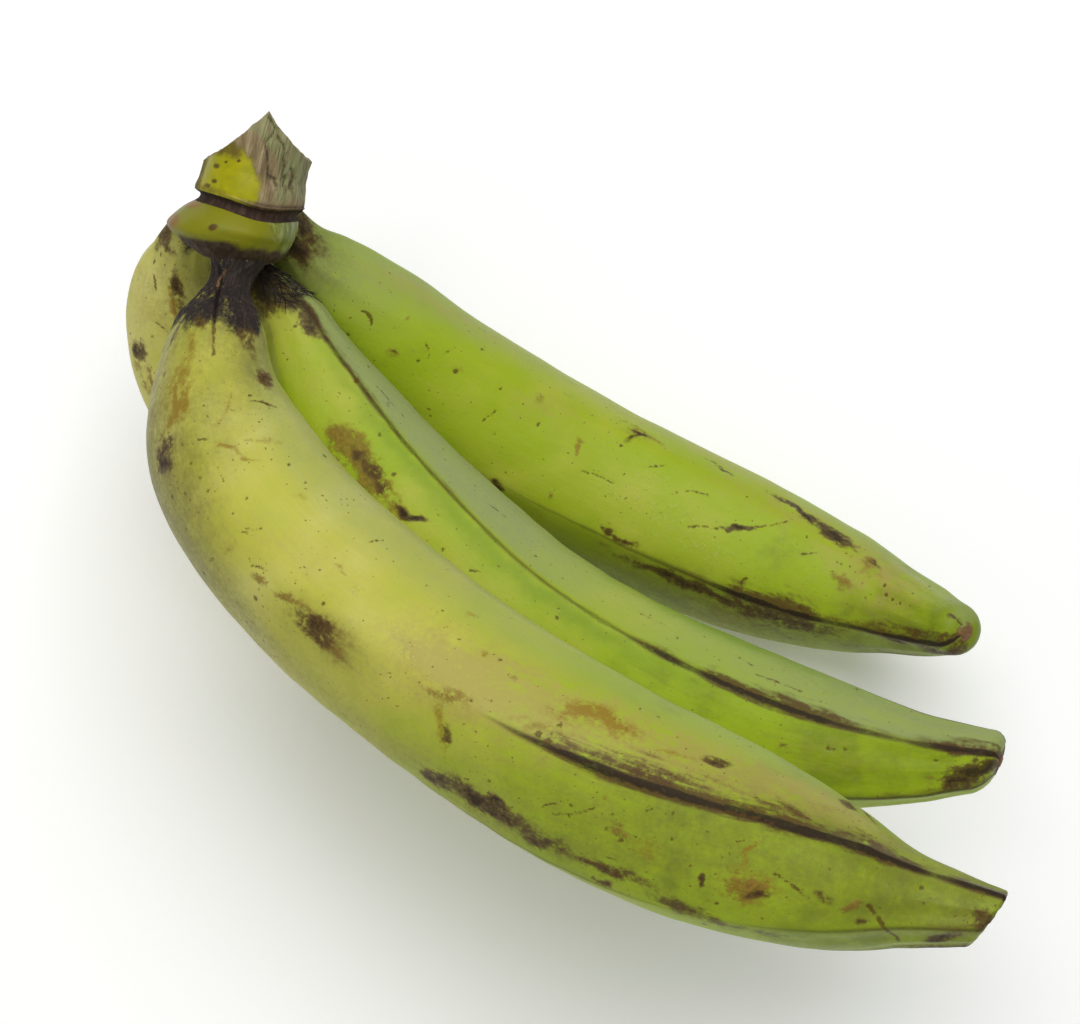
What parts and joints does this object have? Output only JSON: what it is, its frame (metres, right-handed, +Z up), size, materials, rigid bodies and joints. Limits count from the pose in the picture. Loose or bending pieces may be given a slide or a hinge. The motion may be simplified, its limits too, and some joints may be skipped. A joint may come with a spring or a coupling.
{
  "type": "hand of plantains",
  "caption": "Hand of green plantains on its cut crown, lying on its side: long, curved, bluntly ridged fingers with dark necks and tips.",
  "frame": {"origin": "centre of the hand's bounding box, on the surface that it lies on", "axes": "+Z up from that surface; the cut crown is at the back left, towards -X and +Y, and the tips point right, towards +X"},
  "size_m": [0.2471, 0.25, 0.1456],
  "materials": {
    "peel": "satin, waxy plantain peel, yellow-green with brown scars and dark ridges",
    "crown_skin": "satin to dull, yellow-green stalk skin, wrinkled and brown in places"
  },
  "bodies": {
    "root": {"crown": "crown_skin", "finger_front": "peel", "finger_middle": "peel", "finger_back": "peel", "finger_under": "peel"}
  },
  "joints": []
}
